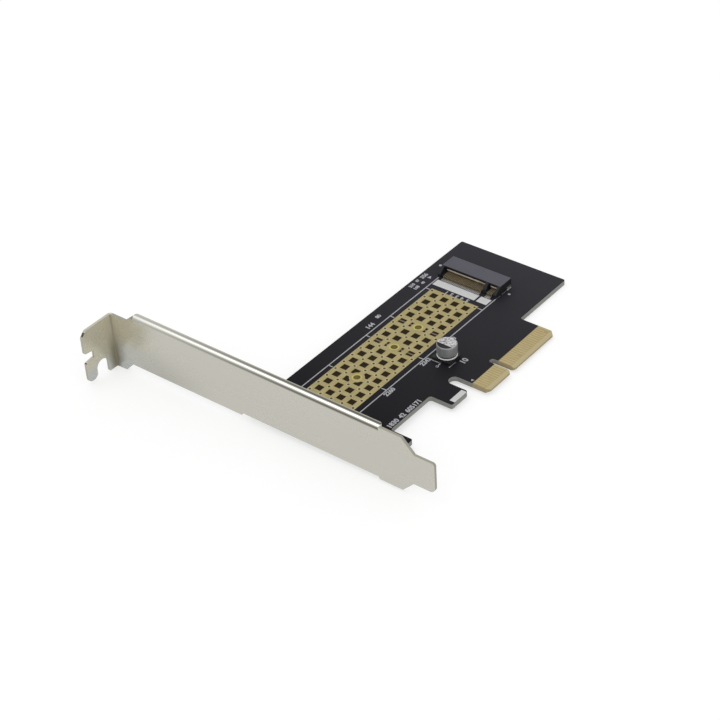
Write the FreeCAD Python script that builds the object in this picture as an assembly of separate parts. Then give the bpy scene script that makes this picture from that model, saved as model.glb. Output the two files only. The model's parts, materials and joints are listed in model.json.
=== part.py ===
import FreeCAD, Part
import math
import os

# An adapter card that carries an M.2 solid-state drive in a four-lane expansion slot.
# Frame: X runs along the card from its bracket to its free end, Y runs from the gold
# fingers up to the bracket's tab, Z leaves the component side.  The origin is on the
# lower edge of the fingers, at the middle of the key notch, halfway through the board.

# ---- driving dimensions, millimetres ----------------------------------------------

# board
boardThick = 1.57
boardReach = 46.85            # key notch to the free end
boardTop = 51.75              # finger edge to the upper edge
boardLow = 12.4               # finger edge to the lower edge beside the fingers
boardGap = 1.04               # board's end to the inner face of the bracket
boardCorner = 0.6             # rounding of the free corners
innerCorner = 0.8             # rounding of the inward corners
footWidth = 14.65             # foot that stands beside the bracket
footLow = 4.6
toothWidth = 8.0              # retention tooth in front of the fingers
toothLow = 4.6
toothCorner = 1.0
toothSlot = 3.65              # slot between the tooth and the fingers
toothSlotTop = 12.6           # height of the slot's round end

# gold fingers
fingerFront = 12.15           # key notch to the short end of the finger edge
fingerBack = 22.15            # key notch to the long end of the finger edge
keyWidth = 1.9
keyTop = 8.0
keyMouth = 0.5                # bevel at the mouth of the key notch
endBevel = 1.1                # corner bevel at both ends of the finger edge
edgeBevelRun = 1.3            # bevel along the finger edge, up the board
edgeBevelDrop = 0.45          # and into its thickness, on both faces
fingerPitch = 1.0
fingerWidth = 0.7
fingerFirst = 1.5             # key notch to the first finger on either side
fingersBeforeKey = 11
fingersAfterKey = 21
fingerLow = 1.35              # start of a finger above the bevel
fingerHigh = 5.6
shortFingerLow = 2.6          # start of the presence-detect fingers, which mate last
copper = 0.05                 # plated copper above the board's face
past = 1.0                    # how far a cutter runs beyond the face it opens

# drive position
lastHole = 10.25              # bracket's outer face to the hole of the longest drive
driveAxis = 35.2              # height of the drive's centreline
driveLengths = (30.0, 42.0, 60.0, 80.0)
standoffBore = 2.2            # hole that takes the drive's stand-off screw
standoffRing = 4.4            # copper ring around the hole on the solder side

# bare copper that cools the drive
landHalf = 8.8
landStart = 11.1              # drive's end to the near edge of the copper
landPitch = 4.0
landColumns = 18
landRows = 4
landFirst = 14.0              # drive's end to the first column of squares
landWindow = 2.25             # side of a masked square
landCollar = 4.7              # unbroken copper around a stand-off hole

# bracket, folded from one sheet
sheet = 0.86
bendInside = 0.4
bracketReach = 59.05          # key notch to the outer face
bracketWide = 18.42
bracketTab = 103.8            # finger edge to the tab's seating face
bracketLong = 119.16          # seating face to the end of the tongue
bodyHigh = 94.7               # upper end of the full-width body
tabWide = 19.05
tabLead = 3.27                # tab reaches this far below the body's lower edge
tabDeep = 12.1
tabCorner = 1.8
neckSlope = 3.1               # length of the sloped step between neck and body
neckLead = 1.0                # the lower slope starts this much nearer the body
shoulder = 4.3                # 45 degree shoulder down to the tongue
tongueWide = 10.19
tongueLift = 3.88             # body's lower edge to the tongue's lower edge
tongueCornerHigh = 0.9
tongueCornerLow = 1.9
screwSlotWide = 4.8
screwSlotAxis = 5.75          # outer face to the middle of the screw slot
screwSlotDeep = 5.9
armShort = 0.8                # arm outside the slot ends this much higher
armCorner = 1.7
stubCorner = 0.5              # corner of the tab on the slot's other side
tabNotchMouth = 3.4
tabNotchBottom = 2.4
tabNotchDeep = 3.6
tabNotchUp = 9.7              # tab's lower edge to the middle of the edge notch
notchCorner = 0.6
lipDeep = 2.3
lipLow = 3.4
lipCorner = 0.9
flangeLow = 4.3               # flange that carries the board
flangeHigh = 53.1
flangeDeep = 2.7
reliefWide = 1.5              # nick at each end of the flange
reliefTip = 0.4
reliefDeep = 0.85
earDeep = 10.6
earWide = 9.0
earCorner = 1.5
earScrewIn = 5.08             # board's end to the screw
earScrewFromEnd = 5.5         # end of the flange to the screw

# bracket screws
screwMajor = 2.9
screwClear = 0.15             # board hole around the screw, each side
threadClear = 0.04
screwTip = 0.7                # screw below the ear
screwPoint = 0.3              # bevel at the screw's end
screwHead = 5.4
screwHeadHigh = 1.9
screwHeadWall = 0.8           # straight side of the head below its bevel
screwHeadBevel = 0.8
screwLand = 6.4               # copper ring under the head
crossLong = 2.9
crossWide = 0.62
crossDeep = 1.1

# drive socket
socketWide = 21.9
socketHigh = 3.2
socketDeep = 7.9
socketBack = 3.4              # drive's end to the back of the housing
jawHigh = 0.95
mouthHigh = 2.35              # underside of the roof
roofDeep = 5.8
backWall = 3.2
endWall = 0.9
endWallOut = 0.4              # end walls in front of the jaw
endWallFront = 1.3            # height of the end walls at their front
keyRibOffset = 6.125
keyRibWide = 1.1
keyRibBack = 0.35             # jaw's front to the front of the key rib
contactPitch = 0.5
contactWide = 0.2
contactThick = 0.15
contactClear = 0.05
contactPins = 75
keyPins = range(59, 67)
grooveDeep = 0.3
tailLong = 0.75
lowerReach = 2.7              # jaw's front to the tip of a lower contact
lowerRise = 0.3               # the spring slopes up by this much to its tip
upperReach = 5.3              # back of the housing to the tip of an upper contact
upperLevel = 1.95
upperBed = 1.6
upperDip = 0.4
holdLong = 2.2
holdFoot = 0.4
holdUp = 1.0
holdThick = 0.2
holdFromBack = 1.5            # back of the housing to the middle of a tab

# electrolytic capacitor
canWide = 6.3
capHigh = 5.4
canBevel = 0.35               # bevel around the can's top
capX = 6.1                    # from the key notch towards the bracket
capY = 19.1
baseWide = 6.6
baseHigh = 1.0
baseBevel = 1.3
baseCorner = 0.3
crimpUp = 0.75                # base to the middle of the crimp groove
crimpDeep = 0.3
crimpHalf = 0.42              # half the groove's width at the can's wall
rimRound = 0.15               # rolled edge that sits on the base
leadWide = 0.7
leadThick = 0.18
leadSpan = 7.4
leadPinOut = 1.1
leadClear = 0.05

# ---- places worked out from the dimensions ----------------------------------------

top = boardThick / 2
bottom = -boardThick / 2
outerFace = -bracketReach
innerFace = outerFace + sheet
boardLeft = innerFace + boardGap
bracketLow = bottom - sheet
bracketUp = bracketLow + bracketWide
tabLow = bracketLow - tabLead
tabUp = tabLow + tabWide
tongueEnd = bracketTab - bracketLong
tongueLow = bracketLow + tongueLift
tongueUp = tongueLow + tongueWide
screwX = boardLeft + earScrewIn
screwPlaces = [(screwX, flangeLow + earScrewFromEnd), (screwX, flangeHigh - earScrewFromEnd)]
driveEnd = outerFace + lastHole + driveLengths[-1]
standoffPlaces = [(driveEnd - length, driveAxis) for length in driveLengths]
boardScrewBore = screwMajor / 2 + screwClear
bendOutside = bendInside + sheet
toothRight = -fingerFront - toothSlot
toothLeft = toothRight - toothWidth
footRight = boardLeft + footWidth
houseBack = driveEnd + socketBack
jawFront = houseBack - socketDeep
roofFront = houseBack - roofDeep
cavityBack = houseBack - backWall
Z = FreeCAD.Vector(0, 0, 1)


# ---- helpers ----------------------------------------------------------------------

def onPlane(plane, a, b, level):
    """Point (a, b) of a drawing plane that lies at the given level."""
    if plane == "xy":
        return FreeCAD.Vector(a, b, level)
    if plane == "yz":
        return FreeCAD.Vector(level, a, b)
    return FreeCAD.Vector(a, level, b)


def plate(plane, level, thick, points):
    """Plate with the outline given by corners (a, b) or rounded corners (a, b, radius)."""
    count = len(points)
    ends = []
    for i in range(count):
        a, b = points[i][:2]
        radius = points[i][2] if len(points[i]) > 2 else 0
        before = FreeCAD.Vector(points[i - 1][0] - a, points[i - 1][1] - b, 0).normalize()
        after = FreeCAD.Vector(points[(i + 1) % count][0] - a,
                               points[(i + 1) % count][1] - b, 0).normalize()
        corner = FreeCAD.Vector(a, b, 0)
        if radius == 0:
            ends.append((corner, None, corner))
            continue
        half = before.getAngle(after) / 2
        middle = (before + after).normalize()
        centre = corner + middle * (radius / math.sin(half))
        along = radius / math.tan(half)
        ends.append((corner + before * along, centre - middle * radius, corner + after * along))
    edges = []
    for i in range(count):
        start, mid, stop = (p and onPlane(plane, p.x, p.y, level) for p in ends[i])
        if mid:
            edges.append(Part.Arc(start, mid, stop).toShape())
        following = ends[(i + 1) % count][0]
        following = onPlane(plane, following.x, following.y, level)
        if stop.distanceToPoint(following) > 1e-6:
            edges.append(Part.LineSegment(stop, following).toShape())
    direction = onPlane(plane, 0, 0, thick)
    return Part.Face(Part.Wire(edges)).extrude(direction)


def block(x0, x1, y0, y1, z0, z1):
    return Part.makeBox(x1 - x0, y1 - y0, z1 - z0, FreeCAD.Vector(x0, y0, z0))


def rod(x, y, z0, z1, radius):
    return Part.makeCylinder(radius, z1 - z0, FreeCAD.Vector(x, y, z0), Z)


def joined(shapes):
    first, *rest = shapes
    return first.fuse(rest).removeSplitter() if rest else first


def save(name, shape):
    shape.exportStep("parts/" + name + ".step")
    print(name, "solids", len(shape.Solids), "valid", shape.isValid(), "volume", round(shape.Volume, 3))


# ---- board and its copper ---------------------------------------------------------

def board():
    slotRound = toothSlot / 2
    keyRound = keyWidth / 2
    body = plate("xy", bottom, boardThick, [
        (boardLeft, footLow, boardCorner), (footRight, footLow, boardCorner),
        (footRight, boardLow, innerCorner), (toothLeft, boardLow, toothCorner),
        (toothLeft, toothLow, boardCorner), (toothRight, toothLow, toothCorner),
        (toothRight, toothSlotTop, slotRound), (-fingerFront, toothSlotTop, slotRound),
        (-fingerFront, endBevel), (-fingerFront + endBevel, 0),
        (-keyWidth / 2 - keyMouth, 0), (-keyWidth / 2, keyMouth),
        (-keyWidth / 2, keyTop, keyRound), (keyWidth / 2, keyTop, keyRound),
        (keyWidth / 2, keyMouth), (keyWidth / 2 + keyMouth, 0),
        (fingerBack - endBevel, 0), (fingerBack, endBevel),
        (fingerBack, boardLow, innerCorner), (boardReach, boardLow, boardCorner),
        (boardReach, boardTop, boardCorner), (boardLeft, boardTop, boardCorner)])
    bevels = []
    for side in (-1, 1):
        face, low = side * top, side * (top - edgeBevelDrop)
        bevels.append(plate("yz", -fingerFront - past, fingerFront + fingerBack + 2 * past, [
            (edgeBevelRun, face), (0, low), (-past, low),
            (-past, face + side * past), (edgeBevelRun, face + side * past)]))
    holes = [rod(x, y, bottom - past, top + past, radius)
             for places, radius in ((standoffPlaces, standoffBore / 2), (screwPlaces, boardScrewBore))
             for x, y in places]
    return body.cut(bevels + holes)


def lands(places, bore, wide, level):
    """Flat copper rings around holes, with their lower faces at the given level."""
    rings = [rod(x, y, level, level + copper, wide / 2).cut(rod(x, y, level - past, level + past, bore))
             for x, y in places]
    return Part.makeCompound(rings)


def thermalLand():
    firstX = driveEnd - landFirst
    lastX = firstX - (landColumns - 1) * landPitch
    land = block(lastX - landPitch / 2, driveEnd - landStart,
                 driveAxis - landHalf, driveAxis + landHalf, top, top + copper)
    half = landWindow / 2
    windows = []
    for column in range(landColumns):
        for row in range(landRows):
            x = firstX - column * landPitch
            y = driveAxis + (row - (landRows - 1) / 2) * landPitch
            windows.append(block(x - half, x + half, y - half, y + half, top - past, top + past))
    collars = [rod(x, y, top, top + copper, landCollar / 2) for x, y in standoffPlaces]
    bores = [rod(x, y, top - past, top + past, standoffBore / 2) for x, y in standoffPlaces]
    return land.cut(windows).fuse(collars).removeSplitter().cut(bores)


def fingers(level, shortOnes):
    """Contact fingers on one face: the named ones start higher."""
    places = [-fingerFirst - i * fingerPitch for i in reversed(range(fingersBeforeKey))]
    places += [fingerFirst + i * fingerPitch for i in range(fingersAfterKey)]
    pads = []
    for number, x in enumerate(places, 1):
        low = shortFingerLow if number in shortOnes else fingerLow
        pads.append(block(x - fingerWidth / 2, x + fingerWidth / 2, low, fingerHigh,
                          level, level + copper))
    return Part.makeCompound(pads)


# ---- bracket ----------------------------------------------------------------------

def bend(plane, level, long, centre, turn):
    """Quarter ring of sheet about a bend axis, in the quadrant that turn names."""
    ring = [(centre[0] + turn[0] * bendInside, centre[1]),
            (centre[0] + turn[0] * bendOutside, centre[1]),
            (centre[0], centre[1] + turn[1] * bendOutside),
            (centre[0], centre[1] + turn[1] * bendInside)]
    points = [onPlane(plane, a, b, level) for a, b in ring]
    slant = math.sqrt(0.5)
    mids = [onPlane(plane, centre[0] + turn[0] * slant * r, centre[1] + turn[1] * slant * r, level)
            for r in (bendOutside, bendInside)]
    edges = [Part.LineSegment(points[0], points[1]).toShape(),
             Part.Arc(points[1], mids[0], points[2]).toShape(),
             Part.LineSegment(points[2], points[3]).toShape(),
             Part.Arc(points[3], mids[1], points[0]).toShape()]
    return Part.Face(Part.Wire(edges)).extrude(onPlane(plane, 0, 0, long))


def bracket():
    faceTop = bracketTab - bendInside
    face = plate("yz", outerFace, sheet, [
        (faceTop, tabUp), (bodyHigh + neckSlope, tabUp), (bodyHigh, bracketUp),
        (-shoulder, bracketUp), (-shoulder - (bracketUp - tongueUp), tongueUp),
        (tongueEnd, tongueUp, tongueCornerHigh), (tongueEnd, tongueLow, tongueCornerLow),
        (-shoulder - tongueLift, tongueLow), (-shoulder, bracketLow),
        (bodyHigh + neckSlope - neckLead, bracketLow),
        (bodyHigh + neckSlope - neckLead + tabLead, tabLow),
        (faceTop, tabLow)])
    # the sheet is thinned back to the bends of lip and flange before they are added
    trims = [block(outerFace - past, innerFace + past, lipLow, bodyHigh,
                   bracketUp - bendOutside, bracketUp + past),
             block(outerFace - past, innerFace + past, flangeLow, flangeHigh,
                   bracketLow - past, bracketLow + bendOutside)]
    reliefs = [plate("yz", outerFace - past, sheet + 2 * past, [
        (y - reliefWide / 2, bracketLow - past), (y + reliefWide / 2, bracketLow - past),
        (y + reliefWide / 2, bracketLow), (y + reliefTip / 2, bracketLow + reliefDeep),
        (y - reliefTip / 2, bracketLow + reliefDeep), (y - reliefWide / 2, bracketLow)])
        for y in (flangeLow, flangeHigh)]
    face = face.cut(trims)

    slotMiddle = outerFace - screwSlotAxis
    slotHalf = screwSlotWide / 2
    notchMiddle = tabLow + tabNotchUp
    tabEdge = outerFace - tabDeep
    armLow = tabLow + armShort
    tab = plate("xz", bracketTab, sheet, [
        (outerFace - bendInside, tabLow), (slotMiddle + slotHalf, tabLow, stubCorner),
        (slotMiddle + slotHalf, tabLow + screwSlotDeep, slotHalf),
        (slotMiddle - slotHalf, tabLow + screwSlotDeep, slotHalf),
        (slotMiddle - slotHalf, armLow, armCorner), (tabEdge, armLow, armCorner),
        (tabEdge, notchMiddle - tabNotchMouth / 2, notchCorner),
        (tabEdge + tabNotchDeep, notchMiddle - tabNotchBottom / 2),
        (tabEdge + tabNotchDeep, notchMiddle + tabNotchBottom / 2),
        (tabEdge, notchMiddle + tabNotchMouth / 2, notchCorner),
        (tabEdge, tabUp - tabCorner), (tabEdge + tabCorner, tabUp), (outerFace - bendInside, tabUp)])
    tabBend = bend("xy", tabLow, tabWide, (outerFace - bendInside, bracketTab - bendInside), (1, 1))

    lipInner = outerFace + bendOutside
    lip = plate("xy", bracketUp - sheet, sheet, [
        (lipInner, lipLow), (outerFace + lipDeep, lipLow, lipCorner),
        (outerFace + lipDeep, bodyHigh, lipCorner), (lipInner, bodyHigh)])
    lipBend = bend("xz", lipLow, bodyHigh - lipLow, (lipInner, bracketUp - bendOutside), (-1, 1))

    flange = plate("xy", bracketLow, sheet, [
        (lipInner, flangeLow), (outerFace + earDeep, flangeLow, earCorner),
        (outerFace + earDeep, flangeLow + earWide, earCorner),
        (outerFace + flangeDeep, flangeLow + earWide, innerCorner),
        (outerFace + flangeDeep, flangeHigh - earWide, innerCorner),
        (outerFace + earDeep, flangeHigh - earWide, earCorner),
        (outerFace + earDeep, flangeHigh, earCorner), (lipInner, flangeHigh)])
    flangeBend = bend("xz", flangeLow, flangeHigh - flangeLow,
                      (lipInner, bracketLow + bendOutside), (-1, -1))
    tapped = [rod(x, y, bracketLow - past, bottom + past, screwMajor / 2 + threadClear)
              for x, y in screwPlaces]
    return joined([face, tab, tabBend, lip, lipBend, flange, flangeBend]).cut(reliefs + tapped)


def turned(x, y, profile):
    """Solid of revolution about the upright axis through (x, y), from corners (radius, height)."""
    corners = [FreeCAD.Vector(x + r, y, z) for r, z in profile]
    edges = [Part.LineSegment(p, q).toShape() for p, q in zip(corners, corners[1:] + corners[:1])]
    return Part.Face(Part.Wire(edges)).revolve(corners[0], Z, 360)


def bracketScrews():
    """Pan-head screws with a cross recess."""
    screws = []
    seat, tip = top + copper, bracketLow - screwTip
    crown = seat + screwHeadHigh
    head, thread = screwHead / 2, screwMajor / 2
    for x, y in screwPlaces:
        screw = turned(x, y, [
            (0, tip), (thread - screwPoint, tip), (thread, tip + screwPoint), (thread, seat),
            (head, seat), (head, seat + screwHeadWall), (head - screwHeadBevel, crown), (0, crown)])
        arms = [block(x - a, x + a, y - b, y + b, crown - crossDeep, crown + past)
                for a, b in ((crossLong / 2, crossWide / 2), (crossWide / 2, crossLong / 2))]
        screws.append(screw.cut(arms))
    return Part.makeCompound(screws)


# ---- drive socket -----------------------------------------------------------------

def contactPlaces(first):
    """Heights of the contacts whose pin numbers start at first and go up in twos."""
    pinOne = driveAxis + (contactPins - 1) / 2 * contactPitch / 2
    return [pinOne - (pin - 1) * contactPitch / 2 for pin in range(first, contactPins + 1, 2)
            if pin not in keyPins]


def socketHousing():
    y0, y1 = driveAxis - socketWide / 2, driveAxis + socketWide / 2
    jaw = block(jawFront, houseBack, y0, y1, top, top + jawHigh)
    back = block(cavityBack, houseBack, y0, y1, top, top + socketHigh)
    roof = block(roofFront, houseBack, y0, y1, top + mouthHigh, top + socketHigh)
    wallFront = jawFront - endWallOut
    walls = [plate("xz", y, endWall, [
        (wallFront, top), (houseBack, top), (houseBack, top + socketHigh),
        (roofFront, top + socketHigh), (wallFront, top + endWallFront)])
        for y in (y0, y1 - endWall)]
    ribY = driveAxis - keyRibOffset
    rib = plate("xz", ribY - keyRibWide / 2, keyRibWide, [
        (jawFront + keyRibBack, top), (houseBack, top), (houseBack, top + socketHigh),
        (roofFront, top + socketHigh), (jawFront + keyRibBack, top + endWallFront)])
    body = joined([jaw, back, roof, *walls, rib])
    half = contactWide / 2 + contactClear
    grooves = [block(jawFront - past, jawFront + lowerReach + contactClear, y - half, y + half,
                     top + jawHigh - grooveDeep, top + jawHigh + past) for y in contactPlaces(2)]
    slots = [block(cavityBack - past, houseBack + past, y - half, y + half,
                   top + upperLevel - contactClear, top + upperLevel + contactThick + contactClear)
             for y in contactPlaces(1)]
    return body.cut(grooves + slots)


def bars(outline, places):
    """One flat contact of the given side view at each height."""
    return Part.makeCompound([plate("xz", y - contactWide / 2, contactWide, outline) for y in places])


def lowerContacts():
    bed = top + jawHigh - grooveDeep
    thick, front = contactThick, jawFront - contactThick
    tail, tip = jawFront - tailLong, jawFront + lowerReach
    return bars([
        (tail, top), (jawFront, top), (jawFront, bed), (tip, bed + lowerRise),
        (tip, bed + lowerRise + thick), (front, bed + thick), (front, top + thick),
        (tail, top + thick)], contactPlaces(2))


def upperContacts():
    level, thick = top + upperLevel, contactThick
    behind = houseBack + thick
    tail, tip = houseBack + tailLong, houseBack - upperReach
    return bars([
        (tail, top), (houseBack, top), (houseBack, level), (tip + upperBed, level),
        (tip, level - upperDip), (tip, level - upperDip + thick), (tip + upperBed, level + thick),
        (behind, level + thick), (behind, top + thick), (tail, top + thick)], contactPlaces(1))


def holdDowns():
    """Soldered tabs that stand against both ends of the housing."""
    tabs = []
    middle = houseBack - holdFromBack
    for side in (-1, 1):
        end = driveAxis + side * socketWide / 2
        foot = block(middle - holdLong / 2, middle + holdLong / 2,
                     min(end, end + side * holdFoot), max(end, end + side * holdFoot), top, top + holdThick)
        leg = block(middle - holdLong / 2, middle + holdLong / 2,
                    min(end, end + side * holdThick), max(end, end + side * holdThick), top, top + holdUp)
        tabs.append(joined([foot, leg]))
    return Part.makeCompound(tabs)


# ---- capacitor --------------------------------------------------------------------

def capacitorCan():
    radius, low, high = canWide / 2, top + baseHigh, top + capHigh
    crimp = low + crimpUp
    return turned(-capX, capY, [
        (0, low), (radius - rimRound, low), (radius, low + rimRound), (radius, crimp - crimpHalf),
        (radius - crimpDeep, crimp), (radius, crimp + crimpHalf), (radius, high - canBevel),
        (radius - canBevel, high), (0, high)])


def capacitorBase():
    half = baseWide / 2
    left, right = -capX - half, -capX + half
    base = plate("xy", top, baseHigh, [
        (left, capY - half, baseCorner), (right - baseBevel, capY - half),
        (right, capY - half + baseBevel), (right, capY + half - baseBevel),
        (right - baseBevel, capY + half), (left, capY + half, baseCorner)])
    room = leadWide / 2 + leadClear
    groove = block(left - past, right + past, capY - room, capY + room,
                   top - past, top + leadThick + leadClear)
    slots = [block(min(inner, back), max(inner, back), capY - room, capY + room, top, top + capHigh)
             for inner, back in ((-capX + side * (leadPinOut - leadClear),
                                  -capX + side * (leadPinOut + leadThick + leadClear))
                                 for side in (-1, 1))]
    return base.cut([groove] + slots)


def capacitorLeads():
    """Flat leads, bent outwards under the base."""
    leads = []
    for side in (-1, 1):
        inner, outer = -capX + side * leadPinOut, -capX + side * leadSpan / 2
        back = inner + side * leadThick
        leads.append(plate("xz", capY - leadWide / 2, leadWide, [
            (outer, top), (inner, top), (inner, top + baseHigh), (back, top + baseHigh),
            (back, top + leadThick), (outer, top + leadThick)]))
    return Part.makeCompound(leads)


# ---- build ------------------------------------------------------------------------

os.makedirs("parts", exist_ok=True)
save("board", board())
save("thermal_land", thermalLand())
save("standoff_lands", lands(standoffPlaces, standoffBore / 2, standoffRing, bottom - copper))
save("bracket_lands", lands(screwPlaces, boardScrewBore, screwLand, top))
save("front_fingers", fingers(top, {17, 31}))
save("back_fingers", fingers(bottom - copper, {1}))
save("bracket", bracket())
save("bracket_screws", bracketScrews())
save("socket_housing", socketHousing())
save("socket_lower_contacts", lowerContacts())
save("socket_upper_contacts", upperContacts())
save("socket_hold_downs", holdDowns())
save("capacitor_can", capacitorCan())
save("capacitor_base", capacitorBase())
save("capacitor_leads", capacitorLeads())
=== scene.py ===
import bmesh
import bpy
import json
import math
from mathutils import Matrix, Vector


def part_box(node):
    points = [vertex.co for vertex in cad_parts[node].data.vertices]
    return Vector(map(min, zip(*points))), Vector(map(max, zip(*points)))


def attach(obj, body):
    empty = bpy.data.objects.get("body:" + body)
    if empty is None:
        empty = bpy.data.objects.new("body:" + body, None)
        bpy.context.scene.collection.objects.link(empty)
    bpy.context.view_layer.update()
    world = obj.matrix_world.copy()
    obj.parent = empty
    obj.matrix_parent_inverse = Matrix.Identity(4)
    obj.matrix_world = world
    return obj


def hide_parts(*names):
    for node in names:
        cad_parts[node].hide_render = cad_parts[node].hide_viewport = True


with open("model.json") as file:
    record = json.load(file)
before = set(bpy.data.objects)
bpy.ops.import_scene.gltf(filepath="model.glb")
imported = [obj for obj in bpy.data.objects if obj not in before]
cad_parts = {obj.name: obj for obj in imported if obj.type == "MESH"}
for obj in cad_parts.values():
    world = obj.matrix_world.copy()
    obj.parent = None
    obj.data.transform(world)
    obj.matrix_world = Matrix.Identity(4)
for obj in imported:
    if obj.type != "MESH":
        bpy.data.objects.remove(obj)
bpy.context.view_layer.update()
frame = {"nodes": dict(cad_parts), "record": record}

mm = 0.001
weldWithin = 1e-4  # millimetres; vertices closer than this become one
fontPerCapital = 1.4  # a capital stands about 0.7 of its font's size


def boxOf(node):  # lowest and highest corner of a solid, in millimetres
    low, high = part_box(node)
    return Vector(low) / mm, Vector(high) / mm


boardLow, boardHigh = boxOf("board")
landLow, landHigh = boxOf("thermal_land")
socketHigh = boxOf("socket_housing")[1]
canLow, canHigh = boxOf("capacitor_can")
bracketLow, bracketHigh = boxOf("bracket")
maskTop = boardHigh.z
canMiddle = (canLow + canHigh) / 2


# building helpers: they take millimetres, and finishPiece turns a shape into metres

def addBlock(shape, x, y, z):  # each of x, y, z is a (low, high) pair
    middle = Vector(((x[0] + x[1]) / 2, (y[0] + y[1]) / 2, (z[0] + z[1]) / 2))
    sides = Matrix.Diagonal((x[1] - x[0], y[1] - y[0], z[1] - z[0], 1))
    return bmesh.ops.create_cube(shape, size=1, matrix=Matrix.Translation(middle) @ sides)["verts"]


def addRod(shape, radius, depth, sides, matrix):
    bmesh.ops.create_cone(shape, cap_ends=True, segments=sides, radius1=radius, radius2=radius,
                          depth=depth, matrix=matrix)


def addDot(shape, x, y, radius, level, sides=16, turn=0.0):
    spot = Matrix.Translation((x, y, sum(level) / 2)) @ Matrix.Rotation(turn, 4, "Z")
    addRod(shape, radius, level[1] - level[0], sides, spot)


def addTurned(shape, profile, x, y, steps):  # profile is a closed run of (radius, height)
    ring = [shape.verts.new((x + radius, y, height)) for radius, height in profile]
    edges = [shape.edges.new((ring[i - 1], ring[i])) for i in range(len(ring))]
    bmesh.ops.spin(shape, geom=ring + edges, cent=(x, y, 0), axis=(0, 0, 1), dvec=(0, 0, 0),
                   angle=math.tau, steps=steps, use_merge=True)


def addRing(shape, x, y, z, inner, outer, steps):
    addTurned(shape, [(inner, z[0]), (outer, z[0]), (outer, z[1]), (inner, z[1])], x, y, steps)


def addText(shape, words, x, y, z, high, thick, turn=0, weight=0.0):
    curve = bpy.data.curves.new("lettering", "FONT")
    curve.body = words
    curve.size = high * fontPerCapital
    curve.extrude = thick / 2
    curve.offset = weight
    curve.align_x, curve.align_y = "CENTER", "CENTER"
    curve.resolution_u = 3
    holder = bpy.data.objects.new("lettering", curve)
    mesh = bpy.data.meshes.new_from_object(holder)
    mesh.transform(Matrix.Translation((x, y, z + thick / 2)) @ Matrix.Rotation(turn, 4, "Z"))
    shape.from_mesh(mesh)
    bpy.data.objects.remove(holder)
    bpy.data.curves.remove(curve)
    bpy.data.meshes.remove(mesh)


def finishPiece(name, shape, material, smoothAngle=None):
    bmesh.ops.remove_doubles(shape, verts=shape.verts, dist=weldWithin)
    loose = [vert for vert in shape.verts if not vert.link_faces]
    bmesh.ops.delete(shape, geom=loose, context="VERTS")
    bmesh.ops.recalc_face_normals(shape, faces=shape.faces)
    if smoothAngle:
        for face in shape.faces:
            face.smooth = True
        for edge in shape.edges:
            edge.smooth = edge.calc_face_angle(math.pi) < smoothAngle
    bmesh.ops.scale(shape, vec=(mm, mm, mm), verts=shape.verts)
    mesh = bpy.data.meshes.new(name)
    shape.to_mesh(mesh)
    shape.free()
    mesh.materials.append(material)
    piece = bpy.data.objects.new(name, mesh)
    bpy.context.scene.collection.objects.link(piece)
    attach(piece, "root")
    return piece


# material helpers

def shade(red, green, blue):  # a screen colour, 0 to 255, as the shader wants it
    def straighten(level):
        level = level / 255
        return level / 12.92 if level <= 0.04045 else ((level + 0.055) / 1.055) ** 2.4
    return straighten(red), straighten(green), straighten(blue), 1.0


def newMaterial(name, **values):
    material = bpy.data.materials.new(name)
    material.use_nodes = True
    shader = material.node_tree.nodes["Principled BSDF"]
    for socket, value in values.items():
        shader.inputs[socket.replace("_", " ")].default_value = value
    return material


def addNode(material, kind, inputs=None, **settings):
    made = material.node_tree.nodes.new(kind)
    for name, value in settings.items():
        setattr(made, name, value)
    for name, value in (inputs or {}).items():
        if isinstance(value, bpy.types.NodeSocket):
            material.node_tree.links.new(value, made.inputs[name])
        else:
            made.inputs[name].default_value = value
    return made


def calculate(material, operation, first, second=0.0):
    return addNode(material, "ShaderNodeMath", {0: first, 1: second}, operation=operation).outputs[0]


def both(material, first, second):
    return calculate(material, "MULTIPLY", first, second)


def eitherOf(material, first, second):
    return calculate(material, "MAXIMUM", first, second)


def notOf(material, value):
    return calculate(material, "SUBTRACT", 1.0, value)


def over(material, value, least):  # 1 where value is above least, 0 elsewhere
    return calculate(material, "GREATER_THAN", value, least)


def under(material, value, most):
    return calculate(material, "LESS_THAN", value, most)


def sizeOf(material, value):
    return calculate(material, "ABSOLUTE", value)


def between(material, length, low, high):  # 1 where low < length < high, in millimetres
    return both(material, over(material, length, low * mm), under(material, length, high * mm))


def mixColor(material, factor, first, second):
    made = addNode(material, "ShaderNodeMix", {0: factor, 6: first, 7: second}, data_type="RGBA")
    return made.outputs[2]


def objectPlace(material):
    return addNode(material, "ShaderNodeTexCoord").outputs["Object"]


def axesOf(material, vector):  # its x, y and z
    return addNode(material, "ShaderNodeSeparateXYZ", {0: vector}).outputs


def facingOf(material):  # x, y and z of the way the surface faces
    return axesOf(material, addNode(material, "ShaderNodeNewGeometry").outputs["Normal"])


def speckle(material, place, scale, detail=3.0, stretch=(1, 1, 1)):
    drawn = addNode(material, "ShaderNodeMapping", {"Vector": place, "Scale": stretch}).outputs[0]
    noise = {"Vector": drawn, "Scale": scale, "Detail": detail}
    return addNode(material, "ShaderNodeTexNoise", noise).outputs["Fac"]


def ramp(material, factor, low, high):  # stretches a grey pattern between two values
    ends = {"Value": factor, "To Min": low, "To Max": high}
    return addNode(material, "ShaderNodeMapRange", ends).outputs[0]


def fade(material, value, start, end):  # 0 before start, 1 after end, smooth between
    ends = {"Value": value, "From Min": start, "From Max": end}
    return addNode(material, "ShaderNodeMapRange", ends, interpolation_type="SMOOTHSTEP").outputs[0]


def fadeAlong(material, length, start, end):  # the same, with start and end in millimetres
    return fade(material, length, start * mm, end * mm)


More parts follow.
